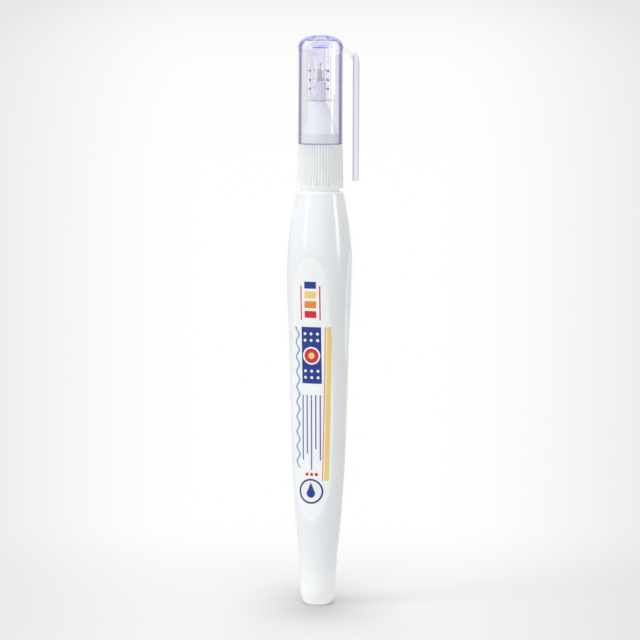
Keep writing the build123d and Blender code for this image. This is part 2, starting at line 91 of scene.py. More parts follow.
FOOT_ROWS = 8
TAIL_ROWS = 16
FLANK_ROWS = 226
SHOULDER_ROWS = 8
INSIDE_ROWS = 40
SEAM_HEIGHT = 0.05
SEAM_WIDTH = 0.16
PINCH_DEPTH = 0.14
PINCH_WIDTH = 0.28
WAVE_HEIGHT = 0.018             # unevenness that blow moulding leaves
WAVES = ((0.61, 2, 0.0), (0.37, -3, 1.3))   # their run up and round the bottle, and start
WAVE_FADE = 6.0                 # they die away this far below the shoulder

# Nozzle
COLLAR_FOOT = 103.1
COLLAR_HEAD = 113.7
COLLAR_CEILING = 112.3
COLLAR_FOOT_RADIUS = 5.71
COLLAR_HEAD_RADIUS = 5.47
COLLAR_BAND = 0.7
RIB_COUNT = 48
RIB_COLUMNS = 12                # columns across one rib
RIB_DEPTH = 0.28
RIB_SPAN_SHARE = 0.62
RIB_RUN_IN = 0.12               # height over which the ribs begin
RIB_STEP = 0.005                # fall of the radius there
RIB_STOP = 0.3                  # straight end of the ribs under the collar's head
RIB_MARGINS = (0.16, 0.05)      # ribbed rows: this far inside the head's radius, above the band
SPIGOT_RADIUS = 4.52
SPIGOT_HEAD = 116.5
CONE_HEAD = 123.6
CONE_HEAD_RADIUS = 1.7
STEM_RADIUS = 1.3
STEM_HEAD = 129.1
TIP_SOCKET = 0.94
TIP_SOCKET_FOOT = 126.06
PASSAGE_RADIUS = 0.75
VALVE_BORE = 2.2
VALVE_SHOULDER = 117.5
PLUG_FOOT = 105.7
PLUG_RADIUS = 3.36
COLLAR_BORE = 4.44
LAND_BORE = 4.79
LAND_BORE_TOP = 104.34

# Cap
CAP_RIM = 113.75
CAP_CROWN = 140.15
CAP_RIM_RADIUS = 5.53
CAP_CROWN_RADIUS = 5.48
CAP_ROUND = 2.9
CAP_DOME = 0.25
CAP_MOUTH = 4.59
CAP_CEILING = 138.6
CAP_CEILING_RADIUS = 4.3
CAP_COLUMNS = 160
CEILING_CHAMFER = (0.9, 1.2)    # how far the round of the ceiling reaches in and down
BOSS_RADIUS = 2.06
BOSS_FOOT = 135.05
DIMPLE_RADIUS = 0.95
DIMPLE_DEPTH = 0.4
DIMPLE_RIM = 0.25               # width of the rim round the dimple
LINER_RADIUS = 3.45
LINER_BORE = 2.1
LINER_RIM = 124.25
LINER_HEAD = 138.2
LINER_END = 0.4                 # plain ends of the bore
LINER_ROWS = 120
LINER_COLUMNS = 128
LINER_BEAD = 0.08
LINER_BEAD_HEIGHTS = (127.35, 129.55, 131.75)

# Clip, drawn in a plane through the axis and then turned to its place
CLIP_TURN = math.radians(18.0)
CLIP_FOOT = 104.75
CLIP_POINT = 136.25
CLIP_FOOT_REACH = 7.93
CLIP_HEAD_REACH = 7.85
CLIP_FOOT_THICKNESS = 1.8
CLIP_HEAD_THICKNESS = 1.6
CLIP_WIDTH = 3.8
CLIP_BEVEL = 2.4
CLIP_POINT_SHARE = 0.4
CLIP_ROUND = 0.35
CLIP_FOOT_ROWS = (0.0, 0.04, 0.12, 0.24)    # first rows, above the foot
CLIP_GAPS = (0.4, 0.3)          # from the foot and the bevel to the arm's even rows
CLIP_HEAD_ROUND = (0.5, 0.6)    # how far the point is rounded in and down
CLIP_LEAST_HALF = 0.06          # least half thickness, at the point
GRIP_MIDDLE = 118.45
GRIP_HEIGHT = 6.0
GRIP_DEPTH = 1.15
GRIP_WIDTH = 2.6
GRIP_EDGE = 0.25                # run-out of the bead to the sides
INNER_FACE = 0.97               # share of the half thickness where the inner face starts
LIP_MIDDLE = 105.9
LIP_HEIGHT = 1.6
LIP_DEPTH = 0.3
WEB_WIDTH = 2.4
WEB_HEAD = (137.75, 135.9)      # upper edge at the cap and at the clip
WEB_FOOT = (135.75, 134.45)     # lower edge at the cap and at the clip
WEB_ARCH = 0.55                 # rise of the lower edge between its ends
WEB_BITE = 0.03                 # how far the web enters what it joins
WEB_ROUND = 0.3
WEB_ROWS = 24

# Valve spring
SPRING_WIRE = 0.16              # radius of the wire
SPRING_RADIUS = 1.5             # coil axis to the wire's centre
SPRING_TURNS = 7
SPRING_STEPS = 40               # rows to a turn
WIRE_COLUMNS = 12
SPRING_ENDS = (107.31, 113.79)  # heights of the wire's centre

# Looks of the plastics: heights, and distances from the axis
FOOT_FADE = 16.0                # the tail's painted lighter tone, painted glow and added roughness fade out up to here
UNDER_FADE = 2.4                # and the painted glow under it
# the neck's painted lighter tone and painted glow rise between these
NECK_EDGE = (101.9, 102.4)
FLAT_MIDDLE = 74.0
FLAT_HALF = (2.3, 14.0)         # half width and half height of the painted glow along a flat's rim
FLAT_SIDE = 6.8                 # the rim's painted glow shows only this far aside
COLLAR_INSIDE = 5.0             # everything further out on the moulding is the collar
WALL_SPAN = (4.8, 5.2)          # the wall's painted edge tint rises between these
LINER_OUTSIDE = 3.6
CROWN_INSIDE = 5.6
CAP_OUTSIDE = 6.0
WEB_SPAN = (5.7, 7.9)
ARM_INSIDE = 7.5
CROWN_THICK = (135.8, 137.0, 139.0, 139.8)  # where the thick crown's painted deeper violet fades in and out
CROWN_TRAP = (137.0, 138.8)
LINER_LIP = 0.45
MOUTH_LIP = (0.1, 0.3)          # middle above the rim and half height of the painted dark rim line
GLINT_SIDES = (-2.45, 1.75)       # places of the painted bead glints across the clip's plane
GLINT_SQUARE = 0.07               # square of their radius
STRAIGHT_RAY = 1.5              # rays that have met one surface at most
MOST_RAYS = 6.5                 # after more bounces, or mirrorings, light goes straight on
MOST_MIRRORINGS = 2.5

# Studio
AIM = Vector((0.00016, 0.00005, 0.07055))
VIEW_TURN = math.radians(18.0)
VIEW_RISE = math.radians(6.0)
VIEW_ROLL = math.radians(0.3)
VIEW_DISTANCE = 0.9
FRAME_WIDTH = 0.1572            # what the image spans at the pen
SENSOR = 36.0
FLOOR_WIDTH = 60.0
FOOT_SHADE = 0.19               # painted shadow on the floor at the foot
FOOT_SHADE_REACH = (27.0, 36.0)  # how far it reaches aside and behind, in millimetres
SIDE_FALL = (0.03, 0.12)        # slopes off the middle between which the floor is painted greyer
LEAST_DISTANCE = 200            # the distance from the viewer counts as this at least
POOL_FALL = (1000, 16000)       # the backdrop's painted pool of light greys between these distances
BACKDROP_BEHIND = (-30, 130)    # the floor runs into the backdrop between these, behind the pen
BACKDROP_AWAY = (150, 400)      # and between these distances all round


# ---- Surfaces ----

def soft_least(first, second, softness):
    """Lesser of two values; where they differ by less than the softness, a parabola joins them."""
    near = np.maximum(softness - np.abs(first - second), 0) / softness
    return np.minimum(first, second) - near * near * softness / 4


def soft_most(first, second, softness):
    """Greater of two values, joined in the same way."""
    return -soft_least(-first, -second, softness)


def fair_curve(knots, values, start_slope, end_slope, places):
    """Cubic through the knots with given end slopes, whose slope and bend are continuous."""
    knots, values = np.asarray(knots, float), np.asarray(values, float)
    steps = np.diff(knots)
    rises = np.diff(values) / steps
    count = len(knots)
    matrix = np.zeros((count, count))
    right = np.zeros(count)
    inner = np.arange(1, count - 1)
    matrix[0, 0] = matrix[-1, -1] = 1
    right[0], right[-1] = start_slope, end_slope
    matrix[inner, inner - 1] = steps[1:]
    matrix[inner, inner] = 2 * (steps[:-1] + steps[1:])
    matrix[inner, inner + 1] = steps[:-1]
    right[inner] = 3 * (steps[1:] * rises[:-1] + steps[:-1] * rises[1:])
    slopes = np.linalg.solve(matrix, right)
    span = np.clip(np.searchsorted(knots, places) - 1, 0, count - 2)
    step = steps[span]
    t = (places - knots[span]) / step
    return (
        values[span] * (1 + 2 * t) * (1 - t) ** 2
        + slopes[span] * step * t * (1 - t) ** 2
        + values[span + 1] * t * t * (3 - 2 * t)
        + slopes[span + 1] * step * t * t * (t - 1)
    )


def rounded_profile(corners, closed, arc_points=5):
    """Profile through (radius, height, round) corners: each corner becomes an arc of its round, with a
    support point beside both ends of the arc so that the flats between stay flat under smooth shading."""
    places = np.array([corner[:2] for corner in corners], float)
    rounds = np.array([corner[2] for corner in corners], float)
    count = len(places)
    profile = []
    for index in range(count):
        here, size = places[index], rounds[index]
        if size == 0 or (not closed and index in (0, count - 1)):
            profile.append(here[None])
            continue
        back = places[index - 1] - here
        ahead = places[(index + 1) % count] - here
        back_length, ahead_length = np.linalg.norm(back), np.linalg.norm(ahead)
        back, ahead = back / back_length, ahead / ahead_length
        half = math.acos(np.clip(back @ ahead, -1, 1)) / 2
        tangent = min(size / math.tan(half), ROUND_LIMIT * back_length, ROUND_LIMIT * ahead_length)
        size = tangent * math.tan(half)
        bisector = (back + ahead) / np.linalg.norm(back + ahead)
        centre = here + bisector * size / math.sin(half)
        first = here + back * tangent - centre
        last = here + ahead * tangent - centre
        share = np.linspace(0, 1, arc_points)[:, None]
        sweep = math.pi - 2 * half
        arc = (np.sin((1 - share) * sweep) * first + np.sin(share * sweep) * last) / math.sin(sweep)
        support = tangent * SUPPORT_SHARE
        profile.append((here + back * (tangent + support))[None])
        profile.append(centre + arc)
        profile.append((here + ahead * (tangent + support))[None])
    return np.concatenate(profile)


def turned_grid(profile, columns):
    """Profile of (radius, height) carried round the axis: x = r cos a, y = r sin a."""
    angle = np.arange(columns) * 2 * np.pi / columns
    radius, height = profile[:, :1], profile[:, 1:2]
    return np.stack(
        np.broadcast_arrays(radius * np.cos(angle), radius * np.sin(angle), height + 0 * angle), axis=-1
    )


def skin(grid, loop=False):
    """Vertices and faces over a grid of rows and columns that closes round its columns.
    With loop the last row meets the first; otherwise both end rows shrink to their middle, a pole."""
    rows, columns = grid.shape[:2]
    here = np.arange(rows * columns).reshape(rows, columns)
    right = np.roll(here, -1, axis=1)
    if loop:
        above, above_right = np.roll(here, -1, axis=0), np.roll(right, -1, axis=0)
        quads = np.stack([here, right, above_right, above], axis=-1).reshape(-1, 4)
        return grid.reshape(-1, 3), quads.tolist()
    quads = np.stack([here[:-1], right[:-1], right[1:], here[1:]], axis=-1).reshape(-1, 4)
    poles = np.array([grid[0].mean(axis=0), grid[-1].mean(axis=0)])
    foot, head = rows * columns, rows * columns + 1
    foot_fan = np.stack([right[0], here[0], np.full(columns, foot)], axis=-1)
    head_fan = np.stack([here[-1], right[-1], np.full(columns, head)], axis=-1)
    points = np.concatenate([grid.reshape(-1, 3), poles])
    return points, quads.tolist() + foot_fan.tolist() + head_fan.tolist()


def make_piece(name, skins, finish, body, node):
    """One smooth mesh from several skins; it rides on a body and stands for a CAD node."""
    vertices, faces, start = [], [], 0
    for points, polygons in skins:
        vertices.append(points * MM)
        faces.extend([corner + start for corner in polygon] for polygon in polygons)
        start += len(points)
    mesh = bpy.data.meshes.new(name)
    mesh.from_pydata(np.concatenate(vertices).tolist(), [], faces)
    mesh.polygons.foreach_set("use_smooth", np.ones(len(mesh.polygons), bool))
    mesh.update()
    mesh.materials.append(finish)
    piece = bpy.data.objects.new(name, mesh)
    bpy.context.scene.collection.objects.link(piece)
    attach(piece, body)
    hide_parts(node)
    return piece


# ---- Shapes of the pen ----

def flank_radius(height):
    """Radius of the bottle's round form at a height: a fair curve through the outline's shares."""
    shares = np.array(BODY_SHARES)
    knots = np.concatenate([[TAIL_HEIGHT], shares[:, 0] * BODY_HEIGHT, [BODY_HEIGHT - SHOULDER_ROUND]])
    radii = np.concatenate([[TAIL_RADIUS], shares[:, 1] * BODY_RADIUS, [SHOULDER_RADIUS]])
    end_slope = (radii[-1] - radii[-2]) / (knots[-1] - knots[-2])
    return fair_curve(knots, radii, 0.0, end_slope, height)


def panel_reach(height):
    """Distance from the axis to the middle of the label panel: a leaning floor between two ramps."""
    floor = PANEL_FOOT_REACH + PANEL_SLOPE * (height - PANEL_FOOT)
    foot_ramp = PANEL_FOOT_REACH + PANEL_FOOT_SLOPE * (height - PANEL_FOOT)
    head_reach = PANEL_FOOT_REACH + PANEL_SLOPE * (PANEL_HEAD - PANEL_FOOT)
    head_ramp = head_reach + PANEL_HEAD_SLOPE * (height - PANEL_HEAD)
    return soft_most(soft_most(floor, foot_ramp, PANEL_BENDS[0]), head_ramp, PANEL_BENDS[1])


def flat_reach(height):
    """Distance from the axis to a squeeze flat: a leaning floor above a ramp, softly joined."""
    floor = FLAT_FOOT_REACH + FLAT_SLOPE * (height - FLAT_FOOT)
    ramp = FLAT_FOOT_REACH + FLAT_FOOT_SLOPE * (height - FLAT_FOOT)
    return soft_most(floor, ramp, FLAT_BEND)


def bottle_rows():
    """Radius, height and inset of each row: up the outside, over the neck, down the inside."""
    foot = np.linspace(FOOT_START, 1, FOOT_ROWS) * FOOT_RADIUS
    bend = np.linspace(0, np.pi / 2, TAIL_ROWS)[1:]
    tail_radius = FOOT_RADIUS + (TAIL_RADIUS - FOOT_RADIUS) * np.sin(bend)
    tail_height = TAIL_HEIGHT * (1 - np.cos(bend))
    height = np.linspace(TAIL_HEIGHT, BODY_HEIGHT - SHOULDER_ROUND, FLANK_ROWS)[1:]
    shoulder = np.linspace(0, np.pi / 2, SHOULDER_ROWS)[1:]
    shoulder_centre = SHOULDER_RADIUS - SHOULDER_ROUND
    land_top = BODY_HEIGHT + LAND_HEIGHT
    neck = rounded_profile(
        (
            (shoulder_centre, BODY_HEIGHT, 0),
            (LAND_RADIUS, BODY_HEIGHT, 0.2),
            (LAND_RADIUS, land_top, 0.1),
            (NECK_RADIUS, land_top, 0.1),
            (NECK_RADIUS, NECK_TOP, 0.15),
            (NECK_BORE, NECK_TOP, 0.15),
            (NECK_BORE, BODY_HEIGHT + SHOULDER_ROUND, 0),
        ),
        closed=False,
    )[1:]
    shoulder_radius = shoulder_centre + SHOULDER_ROUND * np.cos(shoulder)
    shoulder_height = BODY_HEIGHT - SHOULDER_ROUND * (1 - np.sin(shoulder))
    outside_radius = np.concatenate([foot, tail_radius, flank_radius(height), shoulder_radius, neck[:, 0]])
    outside_height = np.concatenate([0 * foot, tail_height, height, shoulder_height, neck[:, 1]])
    inner_height = np.linspace(BODY_HEIGHT - SHOULDER_ROUND, TAIL_HEIGHT, INSIDE_ROWS)
    inner_bend = bend[::-2][1:]
    inside_radius = np.concatenate(
        [flank_radius(inner_height) - BOTTLE_WALL, (TAIL_RADIUS - BOTTLE_WALL) * np.sin(inner_bend)]
    )
    inside_height = np.concatenate(
        [inner_height, TAIL_FLOOR + (TAIL_HEIGHT - TAIL_FLOOR) * (1 - np.cos(inner_bend))]
    )
    inset = np.concatenate([np.zeros(len(outside_radius)), np.full(len(inside_radius), BOTTLE_WALL)])
    return (
        np.concatenate([outside_radius, inside_radius]),
        np.concatenate([outside_height, inside_height]),
        inset,
    )


def bottle_angles(radius, panel, flat):
    """Angles of the columns in each row. A quarter turn runs from the seam to the middle of the panel and
    is split at the edges of the squeeze flat and of the label panel, where the columns crowd together:
    share = t - crowding sin(2 pi t) / (2 pi). The other quarters are its mirror images."""
    flat_edge = np.maximum(np.arccos(np.clip(flat / radius, 0, 1)), FLAT_EDGE_LEAST)
    edge_sine = ((panel + PANEL_CENTRE) ** 2 - PANEL_CENTRE**2 - radius**2) / (2 * radius * PANEL_CENTRE)
    panel_edge = np.clip(np.arcsin(np.clip(edge_sine, 0, 1)), flat_edge + EDGE_GAP, PANEL_EDGE_MOST)
    edges = (0 * radius, flat_edge, panel_edge, 0 * radius + np.pi / 2)
    quarter = []
    for start, end, count in zip(edges, edges[1:], BOTTLE_COLUMNS):
        t = np.arange(count) / count
        share = t - COLUMN_CROWDING * np.sin(2 * np.pi * t) / (2 * np.pi)
        quarter.append(start + (end - start) * share)
    rising = np.concatenate(quarter, axis=1)
    falling = np.pi - np.concatenate([rising[:, 1:], edges[-1]], axis=1)[:, ::-1]
    half = np.concatenate([rising, falling], axis=1)
    return np.concatenate([half, half + np.pi], axis=1)


def bottle_skin():
    """Bottle in polar form: at each height and angle the least of the round form, the label panel and the
    two squeeze flats, softly joined, with faint waves, a seam at both sides and a pinch line underfoot.
    The panel is turned about a line c behind the axis: r = sqrt((p + c)^2 - c^2 cos^2 a) + c sin a."""
    radius, height, inset = (row[:, None] for row in bottle_rows())
    panel, flat = panel_reach(height) - inset, flat_reach(height) - inset
    angle = bottle_angles(radius, panel, flat)
    sine, cosine = np.sin(angle), np.cos(angle)
    round_panel = np.sqrt((panel + PANEL_CENTRE) ** 2 - (PANEL_CENTRE * cosine) ** 2) + PANEL_CENTRE * sine
    reach = soft_least(radius, round_panel, PANEL_EDGE)
    reach = soft_least(reach, flat / np.maximum(np.abs(cosine), COSINE_LEAST), FLAT_EDGE)
    outside = (inset == 0) & (height > 0) & (height < BODY_HEIGHT)
    fade = np.clip(height / TAIL_HEIGHT, 0, 1) * np.clip((BODY_HEIGHT - height) / WAVE_FADE, 0, 1)
    wave = sum(np.sin(rise * height + lobes * angle + start) for rise, lobes, start in WAVES)
    aside = reach * sine
    seam = SEAM_HEIGHT * np.exp(-((aside / SEAM_WIDTH) ** 2))
    reach = reach + np.where(outside, fade * WAVE_HEIGHT * wave / 2 + seam * np.clip(height, 0, 1), 0)
    underfoot = (inset == 0) & (height == 0)
    lift = np.where(underfoot, PINCH_DEPTH * np.exp(-((aside / PINCH_WIDTH) ** 2)), 0)
    grid = np.stack(np.broadcast_arrays(reach * cosine, reach * sine, height + lift), axis=-1)
    return skin(grid)


def nozzle_skin():
    """Turned outline of the nozzle, outside and bore; on the collar the radius falls between the ribs:
    r = root + depth (1 - (p / half span)^2), with p the place across one rib."""
    columns = RIB_COUNT * RIB_COLUMNS
    ribs_foot = COLLAR_FOOT + COLLAR_BAND
    profile = rounded_profile(
        (
            (LAND_BORE, COLLAR_FOOT, 0.1),
            (COLLAR_FOOT_RADIUS, COLLAR_FOOT, 0.18),
            (COLLAR_FOOT_RADIUS, ribs_foot, 0),
            (COLLAR_FOOT_RADIUS - RIB_STEP, ribs_foot + RIB_RUN_IN, 0),
            (COLLAR_HEAD_RADIUS, COLLAR_HEAD - RIB_STOP, 0),
            (COLLAR_HEAD_RADIUS, COLLAR_HEAD, 0.14),
            (SPIGOT_RADIUS, COLLAR_HEAD, 0.15),
            (SPIGOT_RADIUS, SPIGOT_HEAD, 0.4),
            (CONE_HEAD_RADIUS, CONE_HEAD, 0.8),
            (STEM_RADIUS, CONE_HEAD + CONE_HEAD_RADIUS - STEM_RADIUS, 0.3),
            (STEM_RADIUS, STEM_HEAD, 0.1),
            (TIP_SOCKET, STEM_HEAD, 0.05),
            (TIP_SOCKET, TIP_SOCKET_FOOT, 0),
            (PASSAGE_RADIUS, TIP_SOCKET_FOOT, 0),
            (PASSAGE_RADIUS, VALVE_SHOULDER + VALVE_BORE - PASSAGE_RADIUS, 0),
            (VALVE_BORE, VALVE_SHOULDER, 0),
            (VALVE_BORE, PLUG_FOOT, 0.1),
            (PLUG_RADIUS, PLUG_FOOT, 0.2),
            (PLUG_RADIUS, COLLAR_CEILING, 0),
            (COLLAR_BORE, COLLAR_CEILING, 0),
            (COLLAR_BORE, LAND_BORE_TOP, 0),
            (LAND_BORE, LAND_BORE_TOP, 0),
        ),
        closed=True,
    )
    grid = turned_grid(profile, columns)
    place = np.abs((np.arange(columns) / RIB_COLUMNS + 0.5) % 1 - 0.5)
    half_span = RIB_SPAN_SHARE / 2
    valley = RIB_DEPTH * np.minimum((place / half_span) ** 2, 1)
    radius, height = profile[:, 0], profile[:, 1]
    ribbed = (radius > COLLAR_HEAD_RADIUS - RIB_MARGINS[0]) & (height > ribs_foot + RIB_MARGINS[1])
    share = 1 - np.where(ribbed[:, None], valley / radius[:, None], 0)
    grid[..., :2] *= share[..., None]
    return skin(grid, loop=True)


def cap_skin():
    """Turned outline of the clear cap: gate dimple, domed crown, tapered wall, mouth, ceiling, boss."""
    wall_head = CAP_CROWN - CAP_ROUND
    lean = (CAP_RIM_RADIUS - CAP_CROWN_RADIUS) / (wall_head - CAP_RIM)
    crown_edge = CAP_CROWN_RADIUS - CAP_ROUND
    dome = np.linspace(DIMPLE_RADIUS + DIMPLE_RIM, crown_edge, 6)
    crown_share = dome / crown_edge
    crown = np.stack([dome, CAP_CROWN + CAP_DOME * (1 - crown_share**2)], axis=-1)
    bend = np.linspace(0, np.pi / 2 - lean, 14)[1:]
    shoulder = np.stack(
        [crown_edge + CAP_ROUND * np.sin(bend), wall_head + CAP_ROUND * np.cos(bend)], axis=-1
    )
    dimple_floor = CAP_CROWN - DIMPLE_DEPTH
    dimple = rounded_profile(
        (
            (POLE_RADIUS, dimple_floor, 0),
            (DIMPLE_RADIUS, dimple_floor, 0.3),
            (DIMPLE_RADIUS, CAP_CROWN + CAP_DOME * 0.9, 0.2),
            (dome[0], crown[0, 1], 0),
        ),
        closed=False,
    )[:-1]
    inside = rounded_profile(
        (
            (CAP_CROWN_RADIUS + lean, wall_head - 1.0, 0),
            (CAP_RIM_RADIUS, CAP_RIM, 0.22),
            (CAP_MOUTH, CAP_RIM, 0.15),
            (CAP_MOUTH, SPIGOT_HEAD, 0.3),
            (CAP_CEILING_RADIUS, CAP_CEILING - CEILING_CHAMFER[1], 0.9),
            (CAP_CEILING_RADIUS - CEILING_CHAMFER[0], CAP_CEILING, 0.9),
            (BOSS_RADIUS, CAP_CEILING, 0.15),
            (BOSS_RADIUS, BOSS_FOOT, 0.15),
            (POLE_RADIUS, BOSS_FOOT, 0),
        ),
        closed=False,
    )
    profile = np.concatenate([dimple, crown, shoulder, inside])[::-1]
    return skin(turned_grid(profile, CAP_COLUMNS))


def liner_skin():
    """Turned outline of the inner sleeve; half-round beads narrow its bore by sqrt(b^2 - (z - m)^2)."""
    heights = np.linspace(LINER_HEAD - LINER_END, LINER_RIM + LINER_END, LINER_ROWS)
    bead = np.zeros_like(heights)
    for middle in LINER_BEAD_HEIGHTS:
        bead += np.sqrt(np.clip(LINER_BEAD**2 - (heights - middle) ** 2, 0, None))
    bore = np.stack([LINER_BORE - bead, heights], axis=-1)
    outside = rounded_profile(
        (
            (LINER_BORE, LINER_RIM + LINER_END, 0),
            (LINER_BORE, LINER_RIM, 0.15),
            (LINER_RADIUS, LINER_RIM, 0.2),
            (LINER_RADIUS, LINER_HEAD, 0.1),
            (LINER_BORE, LINER_HEAD, 0.1),
            (LINER_BORE, LINER_HEAD - LINER_END, 0),
        ),
        closed=False,
    )
    return skin(turned_grid(np.concatenate([outside[1:-1], bore]), LINER_COLUMNS), loop=True)


def spring_skin():
    """Open coil of round wire: circles of radius w in the plane of the outward direction n and of b,
    the tangent crossed with n, about (R cos 2 pi t, R sin 2 pi t, foot + pitch t)."""
    foot, head = SPRING_ENDS
    turn = 2 * np.pi * np.linspace(0, SPRING_TURNS, SPRING_TURNS * SPRING_STEPS + 1)[:, None]
    level = np.zeros_like(turn)
    outward = np.concatenate([np.cos(turn), np.sin(turn), level], axis=1)
    rise = (head - foot) / (2 * np.pi * SPRING_TURNS)
    tangent = np.concatenate(
        [-SPRING_RADIUS * np.sin(turn), SPRING_RADIUS * np.cos(turn), level + rise], axis=1
    )
    tangent /= np.linalg.norm(tangent, axis=1, keepdims=True)
    middle = SPRING_RADIUS * outward + np.concatenate([level, level, foot + rise * turn], axis=1)
    around = (np.arange(WIRE_COLUMNS) * 2 * np.pi / WIRE_COLUMNS)[None, :, None]
    second = np.cross(tangent, outward)
    ring = np.cos(around) * outward[:, None] + np.sin(around) * second[:, None]
    return skin(middle[:, None] + SPRING_WIRE * ring)


def rounded_section(half_first, half_second, corner, points=6):
    """Rounded rectangles, one to a row: each corner is a quarter circle about its own centre."""
    quarter = np.linspace(0, np.pi / 2, points)
    turn = np.concatenate([quarter + index * np.pi / 2 for index in range(4)])
    first_sign = np.repeat([1, -1, -1, 1], points)
    second_sign = np.repeat([1, 1, -1, -1], points)
    corner = np.minimum(corner, np.minimum(half_first, half_second) * 0.98)[:, None]
    first = first_sign * (half_first[:, None] - corner) + corner * np.cos(turn)
    second = second_sign * (half_second[:, None] - corner) + corner * np.sin(turn)
    return first, second


def turned_to_clip(grid):
    """The grid turned about the axis to where the clip stands."""
    cosine, sine = math.cos(CLIP_TURN), math.sin(CLIP_TURN)
    x, y, z = grid[..., 0], grid[..., 1], grid[..., 2]
    return np.stack([x * cosine - y * sine, x * sine + y * cosine, z], axis=-1)


def swelling(height, middle, tall, depth):
    """Outline of a bead along the arm: half an ellipse, depth sqrt(1 - (2 (z - middle) / tall)^2)."""
    return depth * np.sqrt(np.clip(1 - ((height - middle) / (tall / 2)) ** 2, 0, None))


def clip_arm_skin():
    """Clip arm: rounded rectangles stacked up the arm between its inner and outer face, running to a
    point at the head; a half-round grip bead and a small lip swell out of the inner face."""
    bevel_foot = CLIP_POINT - CLIP_BEVEL
    height = np.concatenate(
        [
            CLIP_FOOT + np.array(CLIP_FOOT_ROWS),
            np.linspace(CLIP_FOOT + CLIP_GAPS[0], bevel_foot - CLIP_GAPS[1], 150),
            np.linspace(bevel_foot, CLIP_POINT, 22),
        ]
    )
    share = (height - CLIP_FOOT) / (CLIP_POINT - CLIP_FOOT)
    inner = CLIP_FOOT_REACH + (CLIP_HEAD_REACH - CLIP_FOOT_REACH) * share
    outer = inner + CLIP_FOOT_THICKNESS + (CLIP_HEAD_THICKNESS - CLIP_FOOT_THICKNESS) * share
    point = CLIP_HEAD_REACH + CLIP_HEAD_THICKNESS * CLIP_POINT_SHARE
    outer_bevel = point + (CLIP_HEAD_REACH + CLIP_HEAD_THICKNESS - point) * np.sqrt(
        np.clip((CLIP_POINT - height) / CLIP_BEVEL, 0, 1)
    )
    inner_bevel = point + (CLIP_HEAD_REACH - point) * np.clip(
        (CLIP_POINT - height) / (CLIP_BEVEL / 2), 0, 1
    )
    outer = np.minimum(outer, outer_bevel)
    inner = np.maximum(inner, inner_bevel)
    foot_round = CLIP_ROUND - np.sqrt(
        np.clip(CLIP_ROUND**2 - (CLIP_ROUND - np.minimum(height - CLIP_FOOT, CLIP_ROUND)) ** 2, 0, None)
    )
    head_in, head_down = CLIP_HEAD_ROUND
    head_round = head_in * np.clip(1 - (CLIP_POINT - height) / head_down, 0, 1) ** 2
    half_thick = np.maximum((outer - inner) / 2 - foot_round, CLIP_LEAST_HALF)
    half_wide = CLIP_WIDTH / 2 - foot_round - head_round
    thick, wide = rounded_section(half_thick, half_wide, np.full(len(height), CLIP_ROUND))
    across = np.clip((GRIP_WIDTH / 2 - np.abs(wide)) / GRIP_EDGE, 0, 1)
    inward = -thick / half_thick[:, None] > INNER_FACE
    grip = swelling(height, GRIP_MIDDLE, GRIP_HEIGHT, GRIP_DEPTH)
    lip = swelling(height, LIP_MIDDLE, LIP_HEIGHT, LIP_DEPTH)
    x = ((inner + outer) / 2)[:, None] + thick - (grip + lip)[:, None] * across * inward
    grid = np.stack(np.broadcast_arrays(x, wide, height[:, None]), axis=-1)
    return skin(turned_to_clip(grid))


def clip_web_skin():
    """Web between cap and clip: rounded rectangles carried outwards, between a sloping upper edge and an
    arched lower edge; the inner end follows the round wall of the cap."""
    share = np.linspace(0, 1, WEB_ROWS)
    foot = WEB_FOOT[0] + (WEB_FOOT[1] - WEB_FOOT[0]) * share + WEB_ARCH * 4 * share * (1 - share)
    head = WEB_HEAD[0] + (WEB_HEAD[1] - WEB_HEAD[0]) * share
    half_tall, half_wide = (head - foot) / 2, np.full(WEB_ROWS, WEB_WIDTH / 2)
    tall, wide = rounded_section(half_tall, half_wide, np.full(WEB_ROWS, WEB_ROUND))
    wall = CAP_CROWN_RADIUS - WEB_BITE
    reach = wall + (CLIP_HEAD_REACH + WEB_BITE - wall) * share
    dip = np.sqrt(wall**2 - wide**2) - wall
    x = reach[:, None] + dip * (1 - share)[:, None]
    grid = np.stack(np.broadcast_arrays(x, -wide, ((head + foot) / 2)[:, None] + tall), axis=-1)
    return skin(turned_to_clip(grid))


# ---- Finishes ----

class Amount:
    """A number that varies over a surface. Arithmetic on it adds Math nodes to its finish."""

    def __init__(self, finish, socket):
        self.finish = finish
        self.socket = socket

    def math(self, operation, *values):
        """One Math node over the values."""
        return self.finish.node("ShaderNodeMath", {"operation": operation}, dict(enumerate(values)))

    def __add__(self, other):
        return self.math("ADD", self, other)

    def __sub__(self, other):
        return self.math("SUBTRACT", self, other)

    def __rsub__(self, other):
        return self.math("SUBTRACT", other, self)

    def __mul__(self, other):
        return self.math("MULTIPLY", self, other)

    def __truediv__(self, other):
        return self.math("DIVIDE", self, other)

    def __pow__(self, other):
        return self.math("POWER", self, other)

    def __abs__(self):
        return self.math("ABSOLUTE", self)

    def __lt__(self, other):
        return self.math("LESS_THAN", self, other)

    def __gt__(self, other):
        return self.math("GREATER_THAN", self, other)

    __radd__ = __add__
    __rmul__ = __mul__

    def least(self, other):
        """The lesser of both."""
        return self.math("MINIMUM", self, other)

    def most(self, other):
        """The greater of both."""
        return self.math("MAXIMUM", self, other)

    def ramp(self, low, high):
        """0 below low, 1 above high, smooth between."""
        return self.finish.node(
            "ShaderNodeMapRange", {"interpolation_type": "SMOOTHSTEP"}, {0: self, 1: low, 2: high}
        )


